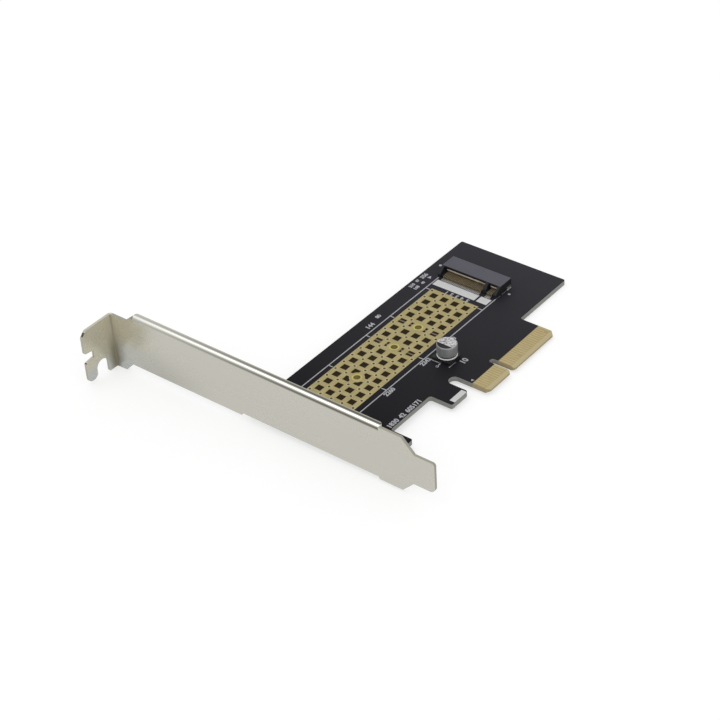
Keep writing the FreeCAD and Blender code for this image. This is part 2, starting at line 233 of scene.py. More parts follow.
def bands(material, value, stops):  # colours one after another, each stop is (place, colour)
    made = addNode(material, "ShaderNodeValToRGB", {0: value})
    for place, color in stops:
        made.color_ramp.elements.new(place).color = color
    made.color_ramp.elements.remove(made.color_ramp.elements[0])
    made.color_ramp.elements.remove(made.color_ramp.elements[-1])
    return made.outputs[0]


def linkShader(material, **sockets):
    shader = material.node_tree.nodes["Principled BSDF"]
    for socket, output in sockets.items():
        material.node_tree.links.new(output, shader.inputs[socket.replace("_", " ")])


def addBump(material, height, distance, strength=1.0):  # distance is in metres
    values = {"Height": height, "Distance": distance, "Strength": strength}
    linkShader(material, Normal=addNode(material, "ShaderNodeBump", values).outputs[0])


def dress(node, material):
    for slot in frame["nodes"][node].material_slots:
        slot.material = material


# camera, floor and light

lens = {"place": (-0.37186, -0.25627, 0.34275), "ahead": (0.61234, 0.51740, -0.59778),
        "up": (0.49675, 0.33643, 0.80004), "focal": 96.85, "sensor": 36, "nearest": 0.01}

cameraData = bpy.data.cameras.new("camera")
cameraData.lens = lens["focal"]
cameraData.sensor_width = lens["sensor"]
cameraData.clip_start = lens["nearest"]
camera = bpy.data.objects.new("camera", cameraData)
ahead = Vector(lens["ahead"]).normalized()
right = ahead.cross(Vector(lens["up"])).normalized()
axes = Matrix((right, right.cross(ahead), -ahead)).transposed().to_4x4()
camera.matrix_world = Matrix.Translation(lens["place"]) @ axes
bpy.context.scene.collection.objects.link(camera)
bpy.context.scene.camera = camera

studio = {"floorWide": 6.0, "floorGap": 0.05, "stubIn": 9.2, "cornerUp": 12.4, "floorGlow": 0.62,
          "floorShade": 0.42, "floorUneven": 0.01, "floorRough": 0.9, "floorGrain": 40.0,
          "ambient": 0.8, "backdrop": 1.0,
          "keyFrom": (-0.15, 0.3, 1.0), "keyFar": 0.8, "keyWide": 0.5, "keyPower": 0.8,
          "sideFrom": (-0.35, -0.8, 0.6), "sideFar": 0.9, "sideWide": 0.5, "sidePower": 0.7}


def backdropRays(material):  # 1 for camera, glossy and transmission rays, 0 for diffuse ones
    path = addNode(material, "ShaderNodeLightPath").outputs
    seen = eitherOf(material, path["Is Camera Ray"], path["Is Glossy Ray"])
    return eitherOf(material, seen, path["Is Transmission Ray"])


def floorMaterial():  # pale and matt, and it glows only where it is seen
    material = newMaterial("paleFloor", Roughness=studio["floorRough"], Specular_IOR_Level=0.0)
    grain = speckle(material, objectPlace(material), studio["floorGrain"])
    tone = ramp(material, grain, studio["floorShade"] - studio["floorUneven"],
                studio["floorShade"] + studio["floorUneven"])
    grey = addNode(material, "ShaderNodeCombineColor", {0: tone, 1: tone, 2: tone}).outputs[0]
    linkShader(material, Base_Color=grey)
    glow = both(material, backdropRays(material), studio["floorGlow"])
    light = addNode(material, "ShaderNodeEmission", {"Strength": glow})
    total = addNode(material, "ShaderNodeAddShader")
    nodes, links = material.node_tree.nodes, material.node_tree.links
    links.new(nodes["Principled BSDF"].outputs[0], total.inputs[0])
    links.new(light.outputs[0], total.inputs[1])
    links.new(total.outputs[0], nodes["Material Output"].inputs["Surface"])
    return material


def makeFloor():
    # it lies floorGap under three low places: the tab beside its slot, a screw's tip and the
    # far corner of the board. The tab's edge dips about 0.1 mm into it
    tipLow, tipHigh = boxOf("bracket_screws")
    arm = Vector((bracketLow.x + studio["stubIn"], bracketHigh.y, bracketLow.z))
    tip = Vector(((tipLow.x + tipHigh.x) / 2, tipLow.y, tipLow.z))
    corner = Vector((boardHigh.x, boardLow.y + studio["cornerUp"], boardLow.z))
    normal = (tip - arm).cross(corner - arm).normalized()
    normal = normal if normal.z > 0 else -normal
    shape = bmesh.new()
    bmesh.ops.create_grid(shape, x_segments=1, y_segments=1, size=studio["floorWide"] / 2)
    turn = normal.to_track_quat("Z", "Y").to_matrix().to_4x4()
    middle = (arm - normal * studio["floorGap"]) * mm
    bmesh.ops.transform(shape, matrix=Matrix.Translation(middle) @ turn, verts=shape.verts)
    mesh = bpy.data.meshes.new("floor")
    shape.to_mesh(mesh)
    shape.free()
    mesh.materials.append(floorMaterial())
    floor = bpy.data.objects.new("floor", mesh)
    bpy.context.scene.collection.objects.link(floor)


def makeWorld():
    world = bpy.data.worlds.new("studio")
    world.use_nodes = True
    tree = world.node_tree
    lit = tree.nodes["Background"]
    seen = tree.nodes.new("ShaderNodeBackground")
    for background, strength in ((lit, studio["ambient"]), (seen, studio["backdrop"])):
        background.inputs["Color"].default_value = (1.0, 1.0, 1.0, 1)
        background.inputs["Strength"].default_value = strength
    blend = tree.nodes.new("ShaderNodeMixShader")
    tree.links.new(backdropRays(world), blend.inputs[0])
    tree.links.new(lit.outputs[0], blend.inputs[1])
    tree.links.new(seen.outputs[0], blend.inputs[2])
    tree.links.new(blend.outputs[0], tree.nodes["World Output"].inputs["Surface"])
    bpy.context.scene.world = world


def addLamp(name, source, far, wide, power):
    lamp = bpy.data.lights.new(name, "AREA")
    lamp.size = wide
    lamp.energy = power
    holder = bpy.data.objects.new(name, lamp)
    away = Vector(source).normalized()
    holder.location = away * far
    holder.rotation_mode = "QUATERNION"
    holder.rotation_quaternion = away.to_track_quat("Z", "Y")
    bpy.context.scene.collection.objects.link(holder)


makeFloor()
makeWorld()
addLamp("keyLamp", studio["keyFrom"], studio["keyFar"], studio["keyWide"], studio["keyPower"])
addLamp("sideLamp", studio["sideFrom"], studio["sideFar"], studio["sideWide"], studio["sidePower"])
bpy.context.scene.view_settings.view_transform = "Standard"
print("camera, floor and lamps are set")


# board: black mask, brown squares inside the copper field, bare laminate at its edges and fingers

# the mask's colours at its free end are a painted sheen
boardLook = {"mask": shade(4, 3, 8), "maskLight": shade(10, 9, 14), "maskSheenDark": shade(44, 43, 48),
             "maskSheenLight": shade(51, 50, 55), "square": shade(44, 34, 4), "squareDark": shade(26, 19, 2),
             "edge": shade(176, 176, 171), "edgeDark": shade(148, 148, 142), "edgeWarm": shade(190, 174, 138),
             "bare": shade(170, 156, 112), "bevel": shade(186, 172, 134), "bevelEnd": 1.3, "maskEnd": 5.75,
             "belowEdge": -1, "fingerEnds": (-12.6, 22.6), "clouds": 55.0, "squareSpecks": 700.0,
             "weave": 900.0, "weaveFlat": (1, 1, 5), "grain": 2600.0, "grainHigh": 0.00002,
             "grainStrength": 0.35, "roughLow": 0.42, "roughHigh": 0.5, "bareRougher": 0.3, "upright": 0.5}


def boardMaterial():
    look = boardLook
    material = newMaterial("blackMask", Specular_IOR_Level=0.06)
    place = objectPlace(material)
    axis = axesOf(material, place)
    upward = facingOf(material)[2]
    side = under(material, sizeOf(material, upward), look["upright"])
    cloud = speckle(material, place, look["clouds"])
    fine = speckle(material, place, look["grain"], detail=2.0)
    weave = speckle(material, place, look["weave"], detail=2.0, stretch=look["weaveFlat"])
    # painted sheen: the mask is painted a shade paler towards the free end
    along = addNode(material, "ShaderNodeMapRange", {"Value": axis[0], "From Min": boardLow.x * mm,
                                                     "From Max": boardHigh.x * mm}).outputs[0]
    mask = mixColor(material, cloud, look["mask"], look["maskLight"])
    maskEnd = mixColor(material, cloud, look["maskSheenDark"], look["maskSheenLight"])
    mask = mixColor(material, along, mask, maskEnd)
    square = mixColor(material, speckle(material, place, look["squareSpecks"]), look["squareDark"],
                      look["square"])
    inField = both(material, between(material, axis[0], landLow.x, landHigh.x),
                   between(material, axis[1], landLow.y, landHigh.y))
    inField = both(material, inField, over(material, upward, look["upright"]))
    atFingers = both(material, between(material, axis[1], look["belowEdge"], look["maskEnd"]),
                     between(material, axis[0], *look["fingerEnds"]))
    atBevel = between(material, axis[1], look["belowEdge"], look["bevelEnd"])
    edge = mixColor(material, weave, look["edgeDark"], look["edge"])
    edge = mixColor(material, atFingers, edge, look["edgeWarm"])
    color = mixColor(material, inField, mask, square)
    color = mixColor(material, atFingers, color, look["bare"])
    color = mixColor(material, side, color, edge)
    color = mixColor(material, atBevel, color, look["bevel"])
    rough = ramp(material, cloud, look["roughLow"], look["roughHigh"])
    bare = eitherOf(material, side, atFingers)
    rough = calculate(material, "ADD", rough, both(material, bare, look["bareRougher"]))
    linkShader(material, Base_Color=color, Roughness=rough)
    addBump(material, fine, look["grainHigh"], look["grainStrength"])
    return material


dress("board", boardMaterial())


# copper: dull gold field and rings, brighter gold fingers

copperLook = {"field": shade(180, 166, 120), "fieldDark": shade(148, 136, 88), "ring": shade(196, 186, 116),
              "ringDark": shade(178, 167, 94), "finger": shade(190, 173, 130),
              "fingerDark": shade(172, 154, 108), "rim": shade(206, 199, 160),
              "rimDark": shade(190, 182, 138), "lining": shade(172, 160, 86),
              "liningDark": shade(140, 128, 62),
              "rougher": 0.08, "smoother": 0.06, "grain": 3000.0, "grainHigh": 0.00001, "grainStrength": 0.3,
              "viaEvery": 4.0, "viaRound": 0.6, "viaHole": 0.44, "viaHigh": 0.012, "viaSunk": 0.02,
              "viaSides": 12, "viaInset": 0.6, "viaClear": 2.6, "viaInside": shade(66, 55, 20),
              "viaDeep": shade(40, 32, 8), "viaRough": 0.7, "viaSpecks": 2000.0,
              "plugGap": 0.005, "plugThick": 0.03, "plugDown": 0.009,
              "bore": 1.1, "ringRound": 1.55, "liningWall": 0.03, "liningGap": 0.004, "liningOut": 0.04,
              "liningSides": 32, "liningSmooth": math.radians(40)}


def goldMaterial(name, bright, dark, rough, metallic, specks):
    look = copperLook
    material = newMaterial(name, Metallic=metallic)
    place = objectPlace(material)
    cloud = speckle(material, place, specks)
    linkShader(material, Base_Color=mixColor(material, cloud, dark, bright),
               Roughness=ramp(material, cloud, rough + look["rougher"], rough - look["smoother"]))
    grain = speckle(material, place, look["grain"], detail=2.0)
    addBump(material, grain, look["grainHigh"], look["grainStrength"])
    return material


def viaMaterial():
    material = newMaterial("viaDark", Roughness=copperLook["viaRough"])
    grain = speckle(material, objectPlace(material), copperLook["viaSpecks"])
    linkShader(material, Base_Color=mixColor(material, grain, copperLook["viaDeep"], copperLook["viaInside"]))
    return material


dullGold = goldMaterial("dullGold", copperLook["field"], copperLook["fieldDark"],
                        rough=0.5, metallic=0.55, specks=420.0)
ringGold = goldMaterial("ringGold", copperLook["ring"], copperLook["ringDark"],
                        rough=0.4, metallic=0.7, specks=500.0)
rimGold = goldMaterial("rimGold", copperLook["rim"], copperLook["rimDark"],
                       rough=0.4, metallic=0.6, specks=500.0)
liningGold = goldMaterial("liningGold", copperLook["lining"], copperLook["liningDark"],
                          rough=0.45, metallic=0.4, specks=700.0)
hardGold = goldMaterial("hardGold", copperLook["finger"], copperLook["fingerDark"],
                        rough=0.34, metallic=0.75, specks=360.0)
dress("thermal_land", dullGold)
dress("standoff_lands", ringGold)
dress("bracket_lands", ringGold)
dress("front_fingers", hardGold)
dress("back_fingers", hardGold)

boreCentres = [(mount["pos_m"][0] / mm, mount["pos_m"][1] / mm)
               for mount in frame["record"]["mounts"] if mount["kind"] == "bore"]


def makeVias():  # a grid over the copper field, half a step off the first hole
    look = copperLook
    rings, holes = bmesh.new(), bmesh.new()
    step, z = look["viaEvery"], landHigh.z
    across = round((landHigh.y - landLow.y) / step)
    along = int((landHigh.x - landLow.x) / step)
    firstX = boreCentres[0][0] + step / 2
    middleY = (landLow.y + landHigh.y) / 2
    for column in range(-along, along):
        for row in range(across + 1):
            x, y = firstX + column * step, middleY + (row - across / 2) * step
            inField = landLow.x + look["viaInset"] < x < landHigh.x - look["viaInset"]
            nearest = min(math.hypot(x - a, y - b) for a, b in boreCentres)
            if not inField or nearest < look["viaClear"]:
                continue
            addRing(rings, x, y, (z - look["viaSunk"], z + look["viaHigh"]), look["viaHole"],
                    look["viaRound"], look["viaSides"])
            addRod(holes, look["viaHole"] - look["plugGap"], look["plugThick"], look["viaSides"],
                   Matrix.Translation((x, y, z - look["plugDown"])))
    finishPiece("viaRings", rings, rimGold)
    finishPiece("viaHoles", holes, viaMaterial())


def makeLinings():
    look = copperLook
    shape, rings = bmesh.new(), bmesh.new()
    outer = look["bore"] - look["liningGap"]
    through = (boardLow.z - look["liningOut"], maskTop + look["liningOut"])
    onLand = (landHigh.z - look["viaSunk"], landHigh.z + look["viaHigh"])
    for x, y in boreCentres:
        addRing(shape, x, y, through, outer - look["liningWall"], outer, look["liningSides"])
        addRing(rings, x, y, onLand, look["bore"], look["ringRound"], look["liningSides"])
    finishPiece("holeLinings", shape, liningGold, look["liningSmooth"])
    finishPiece("holeRings", rings, ringGold)


makeVias()
makeLinings()
print("copper, vias and hole linings are made")


# printed marks on the board: a mark is x, y and its height or radius, a bar is its x and y ranges

printLook = {"line": shade(188, 188, 192), "lineThin": shade(150, 150, 156), "band": shade(215, 216, 212),
             "bandThin": shade(190, 190, 193), "strip": shade(128, 116, 100), "stripThin": shade(104, 92, 74),
             "worn": 1400.0, "wornDetail": 4.0, "wornHigh": 0.00001, "wornStrength": 0.4,
             "high": 0.015, "wide": 0.34, "weight": 0.09,
             "upperLine": 45.85, "lowerLine": 24.35, "lineStart": -57.0, "upperEnd": 27.4, "lowerEnd": 28.6,
             "lowerRest": (29.6, 32.2), "tickFrom": 0.3, "lastTick": (19.2, 19.5), "lastTickFrom": 0.2,
             "stripWide": 0.5, "stripRuns": ((2.5, 3.05), (4.95, 7.05)),
             "numbers": {"2280": -48.8, "2260": -28.9, "2242": -11.4, "2230": 1.2},
             "numberDown": 23.1, "numberHigh": 1.5,
             "smallNumbers": (("144", -6.3, 47.7, 1.6), ("80", -1.0, 48.7, 1.3), ("210", 18.0, 50.05, 1.1),
                              ("07", 21.0, 50.2, 0.9), ("356", 24.3, 50.05, 1.4), ("168", 17.8, 48.2, 1.1),
                              ("40", 21.1, 48.15, 0.9), ("10", -4.7, 14.0, 1.9), ("1830", -39.9, 13.5, 1.6),
                              ("42", -35.6, 13.5, 1.6), ("605171", -30.2, 13.5, 1.6)),
             "rowAt": 20.9, "rowHigh": 1.4, "rowNumbers": (38.9, 37.0, 35.0, 33.1, 31.1),
             "cornerBars": (((-9.75, -9.45), (19.2, 22.2)), ((-11.7, -9.45), (18.85, 19.2))),
             "cornerDot": (-11.3, 19.0, 0.5), "baseBar": ((-9.8, -6.6), (15.65, 15.95)),
             "bands": (((22.1, 25.1), (29.5, 45.3)), ((22.1, 25.1), (25.0, 28.8)),
                       ((-22.3, -16.4), (4.7, 6.55))),
             "dots": ((31.9, 49.3, 0.5), (30.8, 22.4, 0.45)),
             "triangles": ((24.6, 48.2, 0.85, -90), (-10.9, 6.65, 0.6, 90))}


def printMaterial(name, bright, thin):
    look = printLook
    material = newMaterial(name, Roughness=0.6, Specular_IOR_Level=0.2)
    worn = speckle(material, objectPlace(material), look["worn"], look["wornDetail"])
    linkShader(material, Base_Color=mixColor(material, worn, thin, bright))
    addBump(material, worn, look["wornHigh"], look["wornStrength"])
    return material


def printLines(shape, strip, level):  # two long lines, and marks at every drive length
    look = printLook
    half = look["wide"] / 2
    for y, end in ((look["upperLine"], look["upperEnd"]), (look["lowerLine"], look["lowerEnd"])):
        addBlock(shape, (look["lineStart"], end), (y - half, y + half), level)
    addBlock(shape, look["lowerRest"], (look["lowerLine"] - half, look["lowerLine"] + half), level)
    for x, y in boreCentres:
        # a tick from each line to the copper
        tick = (x - half, x + half)
        addBlock(shape, tick, (look["lowerLine"] + half, landLow.y - look["tickFrom"]), level)
        addBlock(shape, tick, (landHigh.y + look["tickFrom"], look["upperLine"] - half), level)
        # and on across the masked squares above and below the hole
        wide = (x - look["stripWide"] / 2, x + look["stripWide"] / 2)
        for side in (-1, 1):
            for near, far in look["stripRuns"]:
                addBlock(strip, wide, sorted((y + side * near, y + side * far)), level)


def printNumbers(shape, level):
    look = printLook
    half = look["wide"] / 2

    def write(words, x, y, high, turn=0):
        addText(shape, words, x, y, maskTop, high, look["high"], turn, look["weight"])

    for words, x in look["numbers"].items():
        write(words, x, look["numberDown"], look["numberHigh"])
    for y in ((look["lowerLine"] + half, landLow.y - look["lastTickFrom"]),
              (landHigh.y + look["lastTickFrom"], look["upperLine"] - half)):
        addBlock(shape, look["lastTick"], y, level)
    # plain numbers where the board carries its small printing
    for words, x, y, high in look["smallNumbers"]:
        write(words, x, y, high)
    for number, y in enumerate(look["rowNumbers"]):
        write(str(number + 1), look["rowAt"], y, look["rowHigh"], math.pi / 2)


def makePrint():
    look = printLook
    shape, band, strip = bmesh.new(), bmesh.new(), bmesh.new()
    level = (maskTop, maskTop + look["high"])
    printLines(shape, strip, level)
    printNumbers(shape, level)
    # marks beside the capacitor
    for x, y in look["cornerBars"]:
        addBlock(shape, x, y, level)
    addDot(shape, *look["cornerDot"], level)
    addBlock(shape, *look["baseBar"], level)
    for x, y in look["bands"]:  # two before the socket and one on the tooth
        addBlock(band, x, y, level)
    for x, y, radius in look["dots"]:
        addDot(shape, x, y, radius, level)
    for x, y, radius, turn in look["triangles"]:  # at the first contact of the socket and of the fingers
        addDot(shape, x, y, radius, level, 3, math.radians(turn))
    finishPiece("boardPrint", shape, printMaterial("whiteInk", look["line"], look["lineThin"]))
    finishPiece("printedBands", band, printMaterial("bandInk", look["band"], look["bandThin"]))
    finishPiece("stripPrint", strip, printMaterial("stripInk", look["strip"], look["stripThin"]))


makePrint()
print("printed marks are made")


# drive socket

# the roof colours are a painted sheen on the black plastic
socketLook = {"plastic": shade(20, 20, 23), "plasticLight": shade(30, 30, 34), "roof": shade(84, 83, 93),
              "roofDark": shade(70, 69, 78), "roofFlat": 0.9, "roofDeep": 0.1, "clouds": 260.0,
              "roughLow": 0.5, "roughHigh": 0.6, "grain": 4000.0, "grainHigh": 0.00001, "grainStrength": 0.5,
              "lower": shade(184, 166, 128), "lowerDark": shade(140, 122, 88),
              "upper": shade(250, 236, 222), "upperDark": shade(226, 208, 190),
              "tin": shade(196, 196, 195), "tinDark": shade(164, 164, 163),
              "padFront": 0.65, "padBack": 0.3, "padIn": 0.55, "padHalf": 0.13, "padHigh": 0.2,
              "padToe": 0.04,
              "noseRound": 0.32, "noseWide": 0.36, "noseSides": 10, "noseUp": 1.67, "noseIn": 0.1,
              "noseSmooth": math.radians(50)}


def socketMaterial():
    look = socketLook
    material = newMaterial("socketPlastic", Specular_IOR_Level=0.3)
    place = objectPlace(material)
    axis = axesOf(material, place)
    # painted sheen: the roof's flat top is painted lighter than the black plastic
    isRoof = both(material, over(material, facingOf(material)[2], look["roofFlat"]),
                  over(material, axis[2], (socketHigh.z - look["roofDeep"]) * mm))
    cloud = speckle(material, place, look["clouds"])
    roof = mixColor(material, cloud, look["roofDark"], look["roof"])
    plastic = mixColor(material, cloud, look["plastic"], look["plasticLight"])
    linkShader(material, Base_Color=mixColor(material, isRoof, plastic, roof),
               Roughness=ramp(material, cloud, look["roughLow"], look["roughHigh"]))
    grain = speckle(material, place, look["grain"], detail=2.0)
    addBump(material, grain, look["grainHigh"], look["grainStrength"])
    return material


def metalMaterial(name, bright, dark, rough, specks, metallic=0.9, uneven=0.06):
    material = newMaterial(name, Metallic=metallic)
    cloud = speckle(material, objectPlace(material), specks)
    linkShader(material, Base_Color=mixColor(material, cloud, dark, bright),
               Roughness=ramp(material, cloud, rough + uneven, rough - uneven))
    addBump(material, cloud, distance=0.000004, strength=0.3)
    return material


dress("socket_housing", socketMaterial())
contactBrown = metalMaterial("contactBrown", socketLook["lower"], socketLook["lowerDark"],
                             rough=0.4, specks=800.0, metallic=0.5)
contactGold = metalMaterial("contactGold", socketLook["upper"], socketLook["upperDark"],
                            rough=0.3, specks=800.0, metallic=0.25)
tin = metalMaterial("tin", socketLook["tin"], socketLook["tinDark"], rough=0.32, specks=700.0)
dress("socket_lower_contacts", contactBrown)
dress("socket_upper_contacts", contactGold)
dress("socket_hold_downs", tin)
dress("capacitor_leads", tin)


def contactLines(node):  # middle of each contact along y, read from its solids
    edges = sorted({round(vert.co.y / mm, 2) for vert in frame["nodes"][node].data.vertices})
    return [(edges[i] + edges[i + 1]) / 2 for i in range(0, len(edges) - 1, 2)]


def makeSolder():
    look = socketLook
    shape = bmesh.new()
    for node, side, reach in (("socket_lower_contacts", -1, look["padFront"]),
                              ("socket_upper_contacts", 1, look["padBack"])):
        low, high = boxOf(node)
        end = low.x if side < 0 else high.x
        x = sorted((end - side * look["padIn"], end + side * reach))
        for y in contactLines(node):
            pad = addBlock(shape, x, (y - look["padHalf"], y + look["padHalf"]),
                           (maskTop, maskTop + look["padHigh"]))
            for vert in pad:
                if vert.co.z > maskTop + look["padHigh"] / 2 and (vert.co.x - end) * side > 0:
                    vert.co.z = maskTop + look["padToe"]  # the fillet runs out past the tail
    finishPiece("socketSolder", shape, tin)


def makeNoses():  # rolled tips of the upper contacts, just inside the mouth
    look = socketLook
    shape = bmesh.new()
    tip = boxOf("socket_upper_contacts")[0].x + look["noseIn"]
    lying = Matrix.Rotation(math.pi / 2, 4, "X")
    for y in contactLines("socket_upper_contacts"):
        spot = Matrix.Translation((tip, y, maskTop + look["noseUp"])) @ lying
        addRod(shape, look["noseRound"], look["noseWide"], look["noseSides"], spot)
    finishPiece("contactNoses", shape, contactGold, look["noseSmooth"])


makeSolder()
makeNoses()
print("socket is dressed")


# capacitor

canLook = {"top": shade(206, 207, 206), "topDark": shade(96, 97, 97), "side": shade(174, 176, 177),
           "sideDark": shade(124, 126, 127), "mark": shade(20, 20, 21), "markFrom": 1.1,
           # rim is a painted highlight on the rolled foot, and groove a painted shade in the crimp
           "groove": shade(84, 85, 86), "rim": shade(214, 215, 214), "footTo": 0.5, "grooveTo": 1.0,
           "topFlat": 0.93, "topDeep": 0.2, "mottle": 1700.0, "mottleFrom": 0.3, "mottleTo": 0.62,
           "drawn": 500.0, "drawnUp": (1, 1, 0.15), "roughLow": 0.34, "roughHigh": 0.46,
           "metallic": 0.35, "topMetallic": 0.4, "grainHigh": 0.000008, "grainStrength": 0.4,
           "steps": 72, "axisHole": 0.02, "foot": ((0.25, 0.0), (0.06, 0.08), (0.0, 0.2)),
           "crimpUp": 0.75, "crimpHalf": 0.42, "crimpDeep": 0.3, "crimpSharp": 1.5, "crimpSteps": 8,
           "shoulder": 0.4, "shoulderSteps": 5, "dish": 0.03, "dishIn": 0.55, "smooth": math.radians(35),
           "base": shade(16, 16, 17), "baseLight": shade(26, 26, 28), "baseSpecks": 900.0}


def canMaterial():
    look = canLook
    material = newMaterial("canAluminium", Specular_IOR_Level=0.15)
    place = objectPlace(material)
    axis = axesOf(material, place)
    onTop = both(material, over(material, facingOf(material)[2], look["topFlat"]),
                 over(material, axis[2], (canHigh.z - look["topDeep"]) * mm))
    marked = both(material, onTop, under(material, axis[0], (canMiddle.x - look["markFrom"]) * mm))
    # painted highlight: the rolled foot under the crimp is painted brighter than the wall, and the groove
    # above it darker, a painted shade
    foot = under(material, axis[2], (canLow.z + look["footTo"]) * mm)
    groove = between(material, axis[2], canLow.z + look["footTo"], canLow.z + look["grooveTo"])
    mottle = speckle(material, place, look["mottle"], detail=4.0)
    mottle = fade(material, mottle, look["mottleFrom"], look["mottleTo"])
    drawn = speckle(material, place, look["drawn"], stretch=look["drawnUp"])
    top = mixColor(material, mottle, look["topDark"], look["top"])
    side = mixColor(material, drawn, look["sideDark"], look["side"])
    side = mixColor(material, foot, side, look["rim"])
    side = mixColor(material, groove, side, look["groove"])
    color = mixColor(material, onTop, side, top)
    metal = calculate(material, "ADD", look["metallic"], both(material, onTop, look["topMetallic"]))
    linkShader(material, Base_Color=mixColor(material, marked, color, look["mark"]),
               Roughness=ramp(material, mottle, look["roughLow"], look["roughHigh"]),
               Metallic=both(material, notOf(material, marked), metal))
    addBump(material, mottle, look["grainHigh"], look["grainStrength"])
    return material


def baseMaterial():
    material = newMaterial("blackBase", Specular_IOR_Level=0.3, Roughness=0.55)
    grain = speckle(material, objectPlace(material), canLook["baseSpecks"])
    linkShader(material, Base_Color=mixColor(material, grain, canLook["base"], canLook["baseLight"]))
    addBump(material, grain, distance=0.00001, strength=0.4)
    return material


def makeCan():
    look = canLook
    radius = (canHigh.x - canLow.x) / 2
    low, high = canLow.z, canHigh.z
    profile = [(look["axisHole"], low)]
    profile += [(radius - inward, low + up) for inward, up in look["foot"]]
    for step in range(look["crimpSteps"] + 1):  # the crimp is a round groove rolled into the wall
        angle = math.pi * step / look["crimpSteps"]
        profile.append((radius - look["crimpDeep"] * math.sin(angle) ** look["crimpSharp"],
                        low + look["crimpUp"] - look["crimpHalf"] * math.cos(angle)))
    bend = look["shoulder"]
    for step in range(look["shoulderSteps"] + 1):
        angle = math.pi / 2 * step / look["shoulderSteps"]
        profile.append((radius - bend * (1 - math.cos(angle)), high - bend + bend * math.sin(angle)))
    profile += [(radius - look["dishIn"], high - look["dish"]), (look["axisHole"], high - look["dish"])]
    shape = bmesh.new()
    addTurned(shape, profile, canMiddle.x, canMiddle.y, look["steps"])
    piece = finishPiece("canDressed", shape, canMaterial(), look["smooth"])
    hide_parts("capacitor_can")


makeCan()
dress("capacitor_base", baseMaterial())
print("capacitor is made")


# bracket

bracketLook = {"sheet": 0.86, "tabDeep": 12.1, "creases": math.radians(50),
               "bright": shade(200, 198, 188), "dull": shade(195, 193, 184), "clouds": 28.0,
               "rolled": 700.0, "rolledAlong": (1, 0.06, 1), "rolledHigh": 0.0000001, "rolledStrength": 0.03,
               "rough": 0.26, "smoother": 0.01, "rougher": 0.03, "metallic": 0.92,
               # painted shade at the neck by the tab, and the tab's arms
               "neck": shade(209, 204, 183), "neckFrom": 82.0, "neckTo": 98.0, "neckMetallic": 0.55,
               "arm": shade(200, 203, 201), "armTo": -3.0, "armRun": 6, "armOnFace": 0.7,
               "faceFrom": 0.9, "faceTo": 0.1, "faceHigh": 9, "faceLow": 2,
               # low down beside the tab
               "low": shade(177, 176, 168), "lowFrom": 6, "lowTo": 2, "lowStart": 60, "lowFull": 90,
               # painted shade where the tab is folded
               "creaseShade": shade(146, 140, 112), "foldShadeFrom": 3.5, "foldShadeToX": 0.5, "foldShadeToY": 0.6,
               "foldShadeHigh": 10, "foldShadeLeast": 0.1, "foldShadeMost": 0.85, "foldShadeRougher": 0.4,
               "innerCreaseShade": shade(150, 144, 120), "foldFacing": -0.15, "foldShare": 0.75,
               # the lip's painted reflection: each colour's place round the bend, 0 at the face and 1 at the
               # back edge
               "lipBend": 1.26, "lipDeep": 2.3, "lipFrom": 3.3, "lipShort": 8, "lipSlack": 0.05,
               "lipFlat": 0.5, "lipReflections": ((0.0, shade(188, 186, 175)), (0.13, shade(106, 103, 92)),
                                            (0.22, shade(106, 103, 92)), (0.33, shade(170, 168, 158)),
                                            (0.44, shade(252, 252, 246)), (0.58, shade(252, 252, 246)),
                                            (0.67, shade(170, 168, 158)), (0.77, shade(86, 84, 74)),
                                            (0.84, shade(86, 84, 74)), (0.93, shade(164, 162, 150))),
               "lipPale": shade(222, 222, 214), "paleFrom": 20, "paleTo": 105, "paleShare": 0.55,
               # sheared edges, and a painted dark reflection on the tab's corner
               "cut": shade(172, 170, 156), "cutDark": shade(146, 144, 130), "tabCut": shade(190, 188, 172),
               "corner": shade(74, 72, 60), "cornerFacing": 0.4, "cutFacing": 0.3, "cutRougher": 0.25,
               "faceSlack": 0.01, "tabSlack": 0.05, "tabBend": 1.3}

tabSide = bracketLow.x + bracketLook["tabDeep"]  # x of the face's outer side, where the tab stands out


def platedColor(material, axis, facing, cloud):  # the sheet's colour, with painted shade at its neck and in its fold
    look = bracketLook
    color = mixColor(material, cloud, look["dull"], look["bright"])
    # painted shade: the neck is painted darker and less metallic, and paler again down the tab's arms
    neck = fadeAlong(material, axis[1], look["neckFrom"], look["neckTo"])
    arm = fadeAlong(material, axis[2], look["armTo"] + look["armRun"], look["armTo"])
    onFace = fadeAlong(material, axis[0], tabSide - look["faceFrom"], tabSide - look["faceTo"])
    arm = eitherOf(material, arm, both(material, both(material, onFace, look["armOnFace"]),
                                       fadeAlong(material, axis[2], look["faceHigh"], look["faceLow"])))
    color = mixColor(material, neck, color, mixColor(material, arm, look["neck"], look["arm"]))
    # low down beside the tab it is a shade darker too
    low = both(material, fadeAlong(material, axis[2], bracketHigh.z - look["lowFrom"],
                                   bracketLow.z + look["lowTo"]),
               fadeAlong(material, axis[1], look["lowStart"], look["lowFull"]))
    color = mixColor(material, both(material, low, notOf(material, neck)), color, look["low"])
    # painted shade: it is painted darker and browner where the tab is folded, most of all low down
    foldShade = both(material, fadeAlong(material, axis[0], tabSide - look["foldShadeFrom"],
                                       tabSide - look["foldShadeToX"]),
                   fadeAlong(material, axis[1], bracketHigh.y - look["foldShadeFrom"],
                             bracketHigh.y - look["foldShadeToY"]))
    deep = ramp(material, fadeAlong(material, axis[2], look["foldShadeHigh"], 0.0), look["foldShadeLeast"],
                look["foldShadeMost"])
    color = mixColor(material, both(material, foldShade, deep), color, look["creaseShade"])
    # painted shade in the inside of the bend between the tab and the face
    inFold = both(material, under(material, facing[0], look["foldFacing"]),
                  under(material, facing[1], look["foldFacing"]))
    color = mixColor(material, both(material, inFold, look["foldShare"]), color, look["innerCreaseShade"])
    return color, neck, foldShade


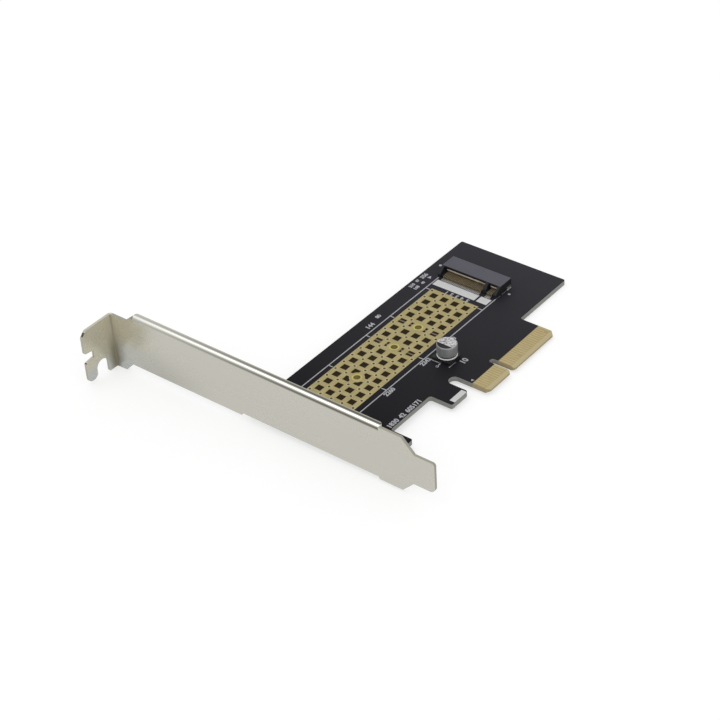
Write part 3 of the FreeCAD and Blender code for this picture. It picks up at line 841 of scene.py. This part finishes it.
def lipColor(material, axis, facing):  # painted reflection: dark, white and dark again round the bend, grey at its back edge
    look = bracketLook
    above = calculate(material, "SUBTRACT", axis[2], (bracketHigh.z - look["lipBend"]) * mm)
    behind = calculate(material, "SUBTRACT", axis[0], tabSide * mm)
    roundBend = calculate(material, "DIVIDE", calculate(material, "ADD", above, behind),
                          (look["lipBend"] + look["lipDeep"]) * mm)
    pale = fadeAlong(material, axis[1], look["paleFrom"], look["paleTo"])
    lipReflection = mixColor(material, both(material, pale, look["paleShare"]),
                       bands(material, roundBend, look["lipReflections"]), look["lipPale"])
    onLip = over(material, above, 0.0)
    for limit in (between(material, axis[1], look["lipFrom"], bracketHigh.y - look["lipShort"]),
                  over(material, behind, -look["lipSlack"] * mm),
                  over(material, facing[2], -look["lipSlack"]),
                  under(material, facing[0], look["lipFlat"]),
                  under(material, sizeOf(material, facing[1]), look["lipFlat"])):
        onLip = both(material, onLip, limit)
    return onLip, lipReflection


def shearedColor(material, axis, facing, rolled):  # dull edges of the face and of the tab, and a painted dark reflection on the tab's corner
    look = bracketLook
    alongX = under(material, sizeOf(material, facing[0]), look["cutFacing"])
    alongY = under(material, sizeOf(material, facing[1]), look["cutFacing"])
    inFace = under(material, axis[0], (tabSide + look["sheet"] + look["faceSlack"]) * mm)
    inTab = under(material, axis[0], (tabSide - look["tabSlack"]) * mm)
    belowTab = under(material, axis[1], (bracketHigh.y - look["tabBend"]) * mm)
    sheared = eitherOf(material, both(material, both(material, alongX, inFace), belowTab),
                       both(material, alongY, inTab))
    edge = mixColor(material, rolled, look["cutDark"], look["cut"])
    edge = mixColor(material, inTab, edge, look["tabCut"])
    # painted reflection: the tab's chamfered corner, facing up and out, is painted dark
    cornerDarkReflection = both(material, under(material, facing[0], -look["cornerFacing"]),
                    over(material, facing[2], look["cornerFacing"]))
    return sheared, mixColor(material, cornerDarkReflection, edge, look["corner"])


def bracketMaterial():
    look = bracketLook
    material = newMaterial("nickelSheet")
    place = objectPlace(material)
    axis, facing = axesOf(material, place), facingOf(material)
    cloud = speckle(material, place, look["clouds"], detail=2.0)
    rolled = speckle(material, place, look["rolled"], stretch=look["rolledAlong"])
    color, neck, foldShade = platedColor(material, axis, facing, cloud)
    onLip, lipReflection = lipColor(material, axis, facing)
    color = mixColor(material, onLip, color, lipReflection)
    sheared, edge = shearedColor(material, axis, facing, rolled)
    sheared = both(material, sheared, notOf(material, onLip))
    rough = ramp(material, rolled, look["rough"] - look["smoother"], look["rough"] + look["rougher"])
    rougher = eitherOf(material, both(material, sheared, look["cutRougher"]),
                       both(material, foldShade, look["foldShadeRougher"]))
    linkShader(material, Base_Color=mixColor(material, sheared, color, edge),
               Roughness=calculate(material, "ADD", rough, rougher),
               Metallic=calculate(material, "SUBTRACT", look["metallic"],
                                  both(material, neck, look["neckMetallic"])))
    addBump(material, rolled, look["rolledHigh"], look["rolledStrength"])
    return material


screwLook = {"steel": shade(200, 199, 194), "steelDark": shade(170, 168, 162), "creases": math.radians(35)}
flatWithin = math.radians(0.5)  # facets this close to one plane are joined


def smoothCopy(node, name, material, creases):  # a solid's copy, with its curves shaded smooth
    shape = bmesh.new()
    shape.from_mesh(frame["nodes"][node].data)
    bmesh.ops.scale(shape, vec=(1 / mm, 1 / mm, 1 / mm), verts=shape.verts)
    bmesh.ops.remove_doubles(shape, verts=shape.verts, dist=weldWithin)
    bmesh.ops.dissolve_limit(shape, angle_limit=flatWithin, verts=shape.verts, edges=shape.edges)
    piece = finishPiece(name, shape, material, creases)
    flatter = piece.modifiers.new("flatter", "WEIGHTED_NORMAL")  # keeps flat sheet flat beside its bends
    flatter.weight = 100
    flatter.keep_sharp = True
    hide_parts(node)


smoothCopy("bracket", "bracketDressed", bracketMaterial(), bracketLook["creases"])
screwSteel = metalMaterial("screwSteel", screwLook["steel"], screwLook["steelDark"], rough=0.28, specks=600.0)
smoothCopy("bracket_screws", "screwsDressed", screwSteel, screwLook["creases"])
print("bracket is dressed")
